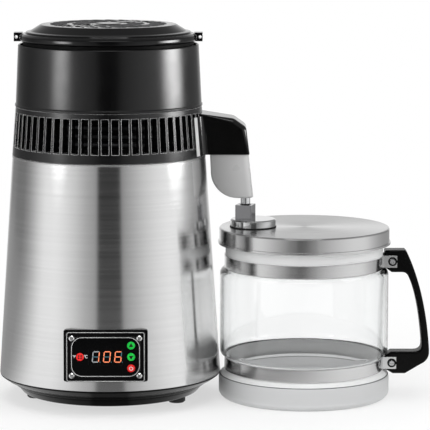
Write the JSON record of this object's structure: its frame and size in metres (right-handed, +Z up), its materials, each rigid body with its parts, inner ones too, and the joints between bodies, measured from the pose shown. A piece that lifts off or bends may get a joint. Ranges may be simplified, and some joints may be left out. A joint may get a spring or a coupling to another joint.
{
  "type": "countertop water distiller",
  "caption": "Tapered steel boiler with a lift-off fan and condenser head, a spout, a control panel with push buttons, and a lidded glass jug with a handle.",
  "frame": {"origin": "middle of the set's footprint, on the counter", "axes": "+Z up, +X from the boiler towards the jug, control panel facing -Y"},
  "size_m": [0.446, 0.2351, 0.3878],
  "materials": {
    "base_plastic": "satin moulded black",
    "foot_rubber": "matt black",
    "shell_steel": "horizontal brushing",
    "tank_steel": "drawn steel",
    "heater_cast": "as cast",
    "element_steel": "oxidised",
    "ceramic": "ceramic body",
    "socket_plastic": "matt black",
    "panel_plastic": "gloss black",
    "window_plastic": "smoked gloss",
    "screw_steel": "plated",
    "board": "solder mask",
    "switch_plastic": "matt black",
    "button_red": "gloss red",
    "button_green": "gloss green",
    "silicone": "translucent white",
    "tube_steel": "bright tube",
    "head_plastic": "satin black",
    "head_paint": "satin black paint",
    "motor_steel": "plated lamination",
    "fan_plastic": "matt black",
    "spout_plastic": "gloss black",
    "nozzle_plastic": "silver grey",
    "charcoal": "charcoal in a pouch",
    "jug_glass": "clear",
    "band_steel": "brushed along the band",
    "handle_plastic": "satin black",
    "lid_steel": "brushed",
    "chrome": "polished"
  },
  "bodies": {
    "boiler": {"base_pan": "base_plastic", "feet": "foot_rubber", "outer_shell": "shell_steel", "boiler_tank": "tank_steel", "heater_plate": "heater_cast", "heater_ring": "element_steel", "thermal_cutout": "ceramic", "mains_inlet": "socket_plastic", "panel_gasket": "panel_plastic", "panel_frame": "panel_plastic", "panel_window": "window_plastic", "panel_screws": "screw_steel", "display_module": "window_plastic", "control_board": "board", "tact_switches": "switch_plastic"},
    "unit_button": {"unit_button": "button_red"},
    "up_button": {"up_button": "button_green"},
    "down_button": {"down_button": "button_green"},
    "power_button": {"power_button": "button_red"},
    "head": {"head_plate": "tank_steel", "tank_seal": "silicone", "steam_elbow": "tube_steel", "condenser_coil": "tube_steel", "coil_clips": "tube_steel", "louvre_ring": "head_plastic", "air_drum": "fan_plastic", "head_shell": "head_paint", "top_cover": "head_plastic", "fan_bracket": "fan_plastic", "fan_motor": "motor_steel", "fan_inlet": "socket_plastic", "spout_housing": "spout_plastic", "spout_nozzle": "nozzle_plastic", "filter_cup": "charcoal", "drip_tube": "tube_steel"},
    "fan": {"fan_rotor": "fan_plastic"},
    "jug": {"glass_jug": "jug_glass", "upper_band": "band_steel", "lower_band": "band_steel", "handle": "handle_plastic", "handle_screws": "screw_steel"},
    "lid": {"jug_lid": "lid_steel", "lid_seal": "silicone", "inlet_flange": "chrome", "inlet_collar": "chrome"}
  },
  "joints": [
    {"name": "unit_press", "type": "slide", "parent": "boiler", "child": "unit_button", "axis": [0, 0.9978, -0.0667], "range_m": [0, 0.0008], "stiffness_N_per_m": 1500},
    {"name": "up_press", "type": "slide", "parent": "boiler", "child": "up_button", "axis": [0, 0.9978, -0.0667], "range_m": [0, 0.0008], "stiffness_N_per_m": 1500},
    {"name": "down_press", "type": "slide", "parent": "boiler", "child": "down_button", "axis": [0, 0.9978, -0.0667], "range_m": [0, 0.0008], "stiffness_N_per_m": 1500},
    {"name": "power_press", "type": "slide", "parent": "boiler", "child": "power_button", "axis": [0, 0.9978, -0.0667], "range_m": [0, 0.0008], "stiffness_N_per_m": 1500},
    {"name": "head_lift", "type": "slide", "parent": "boiler", "child": "head", "axis": [0, 0, 1], "range_m": [0, 0.15]},
    {"name": "fan_spin", "type": "hinge", "parent": "head", "child": "fan", "pos_m": [-0.1085, 0, 0.3655], "axis": [0, 0, 1], "continuous": true},
    {"name": "jug_pull", "type": "slide", "parent": "boiler", "child": "jug", "axis": [1, 0, 0], "range_m": [0, 0.2]},
    {"name": "lid_turn", "type": "hinge", "parent": "jug", "child": "lid", "pos_m": [0.093, 0, 0.173], "axis": [0, 0, 1], "continuous": true}
  ]
}
